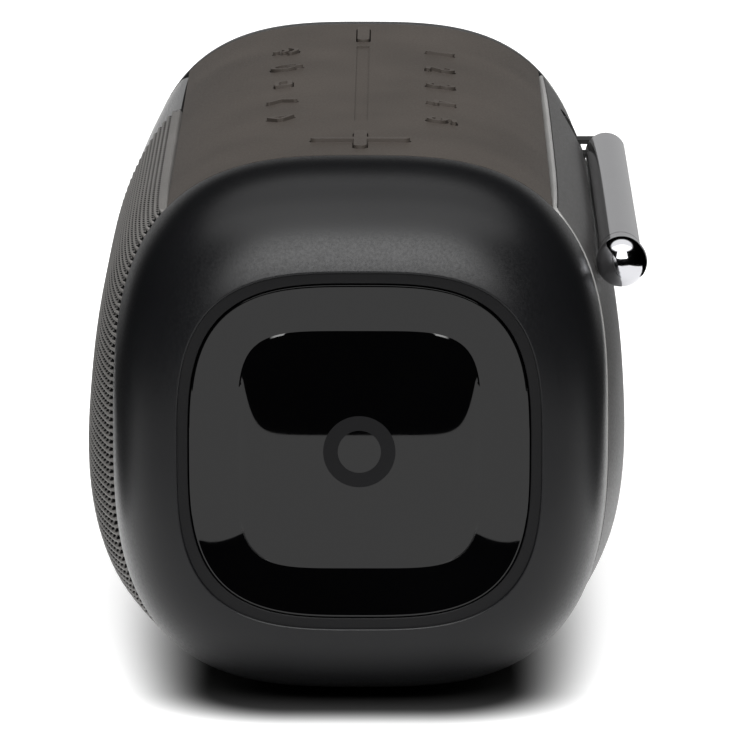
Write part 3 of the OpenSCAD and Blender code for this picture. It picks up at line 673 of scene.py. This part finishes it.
def rounded_outline(x0, x1, radius, run):
    """Closed path with round corners round a sheet, as (x, share of the run down it)."""
    steps = 10
    per_run = 40
    rv = radius / run
    corners = (
        (x0 + radius, rv, 180),
        (x1 - radius, rv, 270),
        (x1 - radius, 1 - rv, 0),
        (x0 + radius, 1 - rv, 90),
    )
    path = []
    for cx, cv, start in corners:
        for i in range(steps + 1):
            t = math.radians(start + 90 * i / steps)
            path.append((cx + radius * math.cos(t), cv + rv * math.sin(t)))
    filled = []
    for a, b in zip(path, path[1:] + path[:1]):
        gap = math.hypot(b[0] - a[0], (b[1] - a[1]) * run)
        n = max(1, round(gap / (run / per_run)))
        filled += [(mix(a[0], b[0], i / n), mix(a[1], b[1], i / n)) for i in range(n)]
    return filled


def make_window():
    """Gloss sheet over the display, with rounded outer corners."""
    x0 = -MID_X + SEAM
    x1 = WINDOW_X - 0.1
    cols = 48
    rows = 90
    corner = 3.6
    edge_drop = 0.35
    outer = []
    inner = []
    for i in range(cols + 1):
        x = mix(x0, x1, i / cols)
        t = max(0.0, 1 - (x - x0) / corner)
        cut = corner * (1 - math.sqrt(max(0.0, 1 - t * t))) / FRONT_RUN
        row_out = []
        row_in = []
        for j in range(rows + 1):
            v = mix(cut, 1 - cut, j / rows)
            drop = edge_drop if i in (0, cols) or j in (0, rows) else 0.0
            row_out.append(skin_point(x, front_angle(v), drop))
            row_in.append(skin_point(x, front_angle(v), WINDOW_T))
        outer.append(row_out)
        inner.append(row_in)
    points, faces = slab(outer, inner)
    return make_object("window_gloss_sheet", points, faces, MATERIALS["window"], flat_over=40)


place(make_grille(), "body", "grille", "front_grille")
place(make_cloth(), "body", "surround")
place(make_window(), "body", "window", "display_window")


# ---- Rear cover, its trim and the base ----

# Degrees between the top panel's border and the cover, which the bead covers
TRIM_TURN = 1.5
REAR_RUN = 82.0
REAR_ANGLES = arc_angles(TOP_A - 0.4, -BASE_A + 0.3, EVEN_STEPS)


def face_out(obj):
    """Turns every face outward."""
    bm = bmesh.new()
    bm.from_mesh(obj.data)
    bmesh.ops.recalc_face_normals(bm, faces=bm.faces)
    bm.to_mesh(obj.data)
    bm.free()


def subtract(obj, cutter):
    """Cuts the cutter's shape out of a piece and drops the cutter."""
    face_out(cutter)
    modifier = obj.modifiers.new("cut", "BOOLEAN")
    modifier.operation = "DIFFERENCE"
    modifier.solver = "EXACT"
    modifier.object = cutter
    bpy.context.view_layer.objects.active = obj
    bpy.context.view_layer.update()
    graph = bpy.context.evaluated_depsgraph_get()
    mesh = bpy.data.meshes.new_from_object(obj.evaluated_get(graph))
    obj.modifiers.clear()
    old = obj.data
    obj.data = mesh
    bpy.data.meshes.remove(old)
    bpy.data.objects.remove(cutter)


def turned(name, start, axis, profile, steps=64):
    """Cutter turned about an axis from a start point, by (distance along it, radius)."""
    base = Vector(start)
    along = Vector(axis)
    side = along.orthogonal().normalized()
    other = along.cross(side)
    rings = []
    for run, radius in profile:
        centre = base + run * along
        rings.append(
            [
                tuple(centre + radius * (math.cos(t) * side + math.sin(t) * other))
                for t in (2 * math.pi * j / steps for j in range(steps))
            ]
        )
    points, faces = loft(rings, looped=False, capped=True)
    return make_object(name, points, faces, MATERIALS["cover"], smooth=False)


def cuboid(name, lo, hi):
    points = [(x, y, z) for x in (lo[0], hi[0]) for y in (lo[1], hi[1]) for z in (lo[2], hi[2])]
    faces = [(0, 1, 3, 2), (4, 6, 7, 5), (0, 4, 5, 1), (2, 3, 7, 6), (0, 2, 6, 4), (1, 5, 7, 3)]
    return make_object(name, points, faces, MATERIALS["cover"], smooth=False)


def make_rear_cover():
    """Rear skin with the antenna's groove, the bush's hole and the opening over the charging port."""
    port_room = 0.35
    xs = spread(-MID_X + 1.6, MID_X - 1.6, 100)
    angles = arc_angles(-BASE_A + 2, TOP_A - TRIM_TURN, 110)
    outer = [[skin_point(x, a, 0.0) for a in angles] for x in xs]
    inner = [[skin_point(x, a, REAR_T) for a in angles] for x in xs]
    points, faces = slab(outer, inner)
    cover = make_object("rear_cover_shell", points, faces, MATERIALS["cover"], smooth=False)
    face_out(cover)
    x0, x1 = GROOVE_X
    pocket_r = GROOVE_R + 0.5
    step = TIP_POCKET_X - x0
    groove = [(0, GROOVE_R), (step, GROOVE_R), (step, pocket_r), (x1 - x0, pocket_r)]
    subtract(cover, turned("cut_groove", (x0, ANTENNA_Y, ANTENNA_Z), (1, 0, 0), groove))
    hole = [(0, BUSH_HOLE_R), (40, BUSH_HOLE_R)]
    subtract(cover, turned("cut_bush", (ANTENNA_X, 20, ANTENNA_Z), (0, 1, 0), hole))
    port_lo = (FLAP_X[0] - port_room, 20, FLAP_Z[0])
    port_hi = (FLAP_X[1], 60, FLAP_Z[1])
    subtract(cover, cuboid("cut_port", port_lo, port_hi))
    mesh = cover.data
    mesh.polygons.foreach_set("use_smooth", [True] * len(mesh.polygons))
    sharpen(mesh, 25)
    return cover


def make_trim():
    """Bead round the rear cover, by (share of its width, depth), a little broader along the top."""
    profile = [(0.0, 1.8), (0.0, 0.25), (0.12, 0.0), (0.4, -0.13), (0.75, -0.1), (1.0, 0.1), (1.0, 1.8)]
    corner = 3.0
    corner_v = corner / REAR_RUN
    corner_x = MID_X - SEAM - corner
    rings = []
    for x, v in rounded_outline(-MID_X + SEAM, MID_X - SEAM, corner, REAR_RUN):
        top = max(0.0, 1 - v / corner_v)
        width = mix(0.6, 0.75, top**1.5)
        dx = -math.copysign(max(0.0, abs(x) - corner_x) / corner, x)
        dv = (max(0.0, corner_v - v) - max(0.0, v - 1 + corner_v)) / corner_v
        scale = math.hypot(dx, dv) or 1.0
        ring = []
        for across, depth in profile:
            step = across * width / scale
            angle = angle_at(REAR_ANGLES, v + dv * step / REAR_RUN)
            ring.append(skin_point(x + dx * step, angle, depth))
        rings.append(ring)
    points, faces = loft(rings)
    # The bead's light grey finish is a painted highlight along the cover's edge
    return make_object("rear_trim_bead", points, faces, MATERIALS["trim"], flat_over=50)


def make_base():
    xs = spread(-MID_X + SEAM, MID_X - SEAM, 60)
    angles = arc_angles(180 + BASE_A, 360 - BASE_A, 70)
    outer = [[skin_point(x, a, 0.0) for a in angles] for x in xs]
    inner = [[skin_point(x, a, BASE_T) for a in angles] for x in xs]
    points, faces = slab(outer, inner)
    return make_object("base_cover_shell", points, faces, MATERIALS["cover"], flat_over=40)


place(make_rear_cover(), "body", "cover", "rear_cover")
place(make_trim(), "body", "trim", "rear_trim")
place(make_base(), "body", "cover", "base_cover")


# ---- Camera, floor and lights ----

# The camera looks along the body from ahead of its right end. Its axis passes beside and above the
# middle of that end, and the lens stands before a sensor 36 mm wide.
SENSOR = 36.0
LENS = 409.38
CAMERA_RANGE = 1225.2
CAMERA_TILT = 10.577
CAMERA_TURN = -0.177
AXIS_BESIDE = 2.255
AXIS_ABOVE = 11.076

# Soft cards of light round the object, in order: least and most share of the heading that points
# along +X (1 ahead of the near end, -1 behind the far one), least and most height, strength
CARDS = (
    (0.92, 1.2, 0.38, 0.8, 11.5),  # a soft light ahead of the near end
    (0.0, 1.2, 0.8, 1.2, 3.1),  # the ceiling ahead
    (-1.2, 0.0, 0.8, 1.2, 1.6),  # the ceiling behind
    (-1.2, -0.85, -0.12, 0.25, 0.45),  # the backdrop, low behind the far end
)
CARD_SOFT_AHEAD = 0.12
CARD_SOFT_UP = 0.08

# White paper on the table: corners from above, wide in front and a narrow strip behind
PAPER = ((-1100, -100), (0, -100), (0, -260), (380, -260), (380, 260), (0, 260), (0, 100), (-1100, 100))
PAPER_TONE = 0.8
PAPER_GLOW = 0.42

# The painted shadow under the object, a dark patch: half sizes of a rectangle, the round border
# round it where the painted shadow is darkest, and the run over which it fades to plain paper
SHADE_TONE = 0.04
SHADE_X = 64.5
SHADE_Y = 10.0
SHADE_R = 12.0
SHADE_SOFT = 16.0


def make_camera():
    tilt = math.radians(CAMERA_TILT)
    turn = math.radians(CAMERA_TURN)
    look = Vector((-math.cos(tilt) * math.cos(turn), math.cos(tilt) * math.sin(turn), -math.sin(tilt)))
    right = Vector((math.sin(turn), math.cos(turn), 0))
    up = right.cross(look)
    target = Vector((END_X, 0, AXIS_Z)) + AXIS_BESIDE * right + AXIS_ABOVE * up
    position = target - CAMERA_RANGE * look
    data = bpy.data.cameras.new("camera")
    data.sensor_width = SENSOR
    data.lens = LENS
    data.clip_start = 0.01
    data.clip_end = 20.0
    camera = bpy.data.objects.new("camera", data)
    matrix = Matrix((right, up, -look)).transposed().to_4x4()
    matrix.translation = position * MM
    camera.matrix_world = matrix
    bpy.context.scene.collection.objects.link(camera)
    bpy.context.scene.camera = camera


def combine(nodes, links, operation, a, b=0.0):
    """Result of a math node on two values, each a number or another node's output."""
    node = nodes.new("ShaderNodeMath")
    node.operation = operation
    for socket, value in zip(node.inputs, (a, b)):
        if isinstance(value, float):
            socket.default_value = value
        else:
            links.new(value, socket)
    return node.outputs["Value"]


def make_floor():
    """Glowing white paper, with a painted shadow close under the object that also dims its glow."""
    material, nodes, links, shader = node_material("table_paper_with_painted_shadow")
    coords = nodes.new("ShaderNodeTexCoord")
    split = nodes.new("ShaderNodeSeparateXYZ")
    links.new(coords.outputs["Object"], split.inputs["Vector"])
    squares = []
    for axis, reach in (("X", SHADE_X), ("Y", SHADE_Y)):
        away = combine(nodes, links, "ABSOLUTE", split.outputs[axis])
        away = combine(nodes, links, "SUBTRACT", away, reach * MM)
        away = combine(nodes, links, "MAXIMUM", away, 0.0)
        squares.append(combine(nodes, links, "MULTIPLY", away, away))
    distance = combine(nodes, links, "SQRT", combine(nodes, links, "ADD", *squares))
    fade = nodes.new("ShaderNodeMapRange")
    fade.interpolation_type = "SMOOTHSTEP"
    fade.inputs["From Min"].default_value = SHADE_R * MM
    fade.inputs["From Max"].default_value = (SHADE_R + SHADE_SOFT) * MM
    links.new(distance, fade.inputs["Value"])
    # Painted shadow: the paper's colour darkens to SHADE_TONE close under the object
    tone = nodes.new("ShaderNodeMapRange")
    tone.inputs["To Min"].default_value = SHADE_TONE
    tone.inputs["To Max"].default_value = PAPER_TONE
    links.new(fade.outputs["Result"], tone.inputs["Value"])
    links.new(tone.outputs["Result"], shader.inputs["Base Color"])
    shader.inputs["Roughness"].default_value = 0.9
    shader.inputs["Specular IOR Level"].default_value = 0.1
    shader.inputs["Emission Color"].default_value = (1.0, 1.0, 1.0, 1.0)
    # The glow fades out under the object too, as part of the painted shadow
    glow = combine(nodes, links, "MULTIPLY", fade.outputs["Result"], PAPER_GLOW)
    links.new(glow, shader.inputs["Emission Strength"])
    points = [(x, y, 0) for x, y in PAPER]
    floor = make_object("floor", points, [tuple(range(len(points)))], material, smooth=False)


def make_world():
    """Dark studio with soft cards of light in it."""
    world = bpy.data.worlds.new("studio")
    bpy.context.scene.world = world
    world.use_nodes = True
    nodes = world.node_tree.nodes
    links = world.node_tree.links
    background = nodes["Background"]
    coords = nodes.new("ShaderNodeTexCoord")
    split = nodes.new("ShaderNodeSeparateXYZ")
    links.new(coords.outputs["Generated"], split.inputs["Vector"])

    def step(source, middle, width, out):
        """Rises smoothly from 0 to out where the source passes the middle."""
        node = nodes.new("ShaderNodeMapRange")
        node.interpolation_type = "SMOOTHSTEP"
        node.inputs["From Min"].default_value = middle - width / 2
        node.inputs["From Max"].default_value = middle + width / 2
        node.inputs["To Min"].default_value = 0.0
        node.inputs["To Max"].default_value = out
        links.new(source, node.inputs["Value"])
        return node.outputs["Result"]

    x = split.outputs["X"]
    z = split.outputs["Z"]
    square = combine(nodes, links, "MULTIPLY", z, z)
    level = combine(nodes, links, "SQRT", combine(nodes, links, "SUBTRACT", 1.0001, square))
    ahead = combine(nodes, links, "DIVIDE", x, level)
    total = combine(nodes, links, "ADD", 0.0, 0.0)
    for ahead_lo, ahead_hi, low, high, strength in CARDS:
        across = [step(ahead, edge, CARD_SOFT_AHEAD, 1.0) for edge in (ahead_lo, ahead_hi)]
        across = combine(nodes, links, "SUBTRACT", *across)
        up = [step(z, edge, CARD_SOFT_UP, strength) for edge in (low, high)]
        up = combine(nodes, links, "SUBTRACT", *up)
        total = combine(nodes, links, "ADD", total, combine(nodes, links, "MULTIPLY", across, up))
    links.new(total, background.inputs["Strength"])
    background.inputs["Color"].default_value = (1.0, 1.0, 1.0, 1.0)


make_camera()
make_floor()
make_world()

scene = bpy.context.scene
scene.view_settings.view_transform = "Standard"
scene.view_settings.look = "None"
scene.view_settings.exposure = 0.0
scene.view_settings.gamma = 1.0

bpy.context.view_layer.update()
